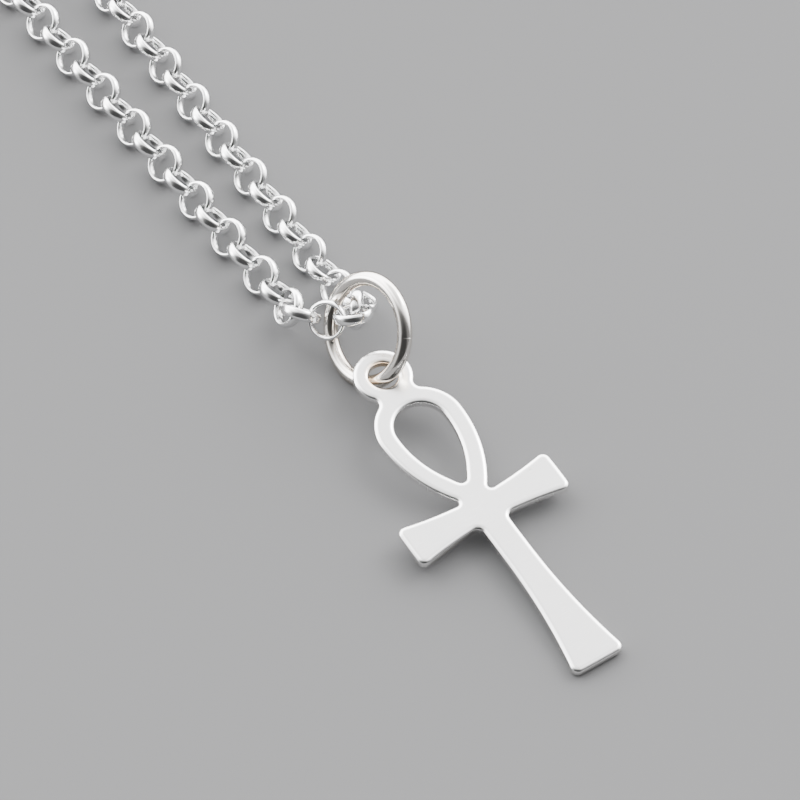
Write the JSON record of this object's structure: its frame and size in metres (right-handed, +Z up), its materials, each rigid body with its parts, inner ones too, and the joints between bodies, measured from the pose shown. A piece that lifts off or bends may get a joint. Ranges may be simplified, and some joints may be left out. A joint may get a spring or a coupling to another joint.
{
  "type": "ankh pendant necklace",
  "caption": "Small polished silver ankh pendant with a round bail, a leaning jump ring and a whole belcher chain, lying on a flat surface.",
  "frame": {"origin": "middle of the bounding box in X and Y, on the surface that the necklace lies on", "axes": "+Y runs from the ankh's foot through the jump ring towards the hidden clasp, +X to the right of the ankh as it is seen, +Z up from the surface"},
  "size_m": [0.088, 0.2208, 0.0066],
  "materials": {
    "ankh_silver": "polished sterling silver with fine wear",
    "ring_silver": "mirror-polished sterling silver wire",
    "chain_silver": "bright sterling silver, lightly tumbled"
  },
  "bodies": {
    "root": {"ankh": "ankh_silver", "jump_ring": "ring_silver", "chain_left": "chain_silver", "chain_right": "chain_silver", "clasp": "ring_silver"}
  },
  "joints": []
}
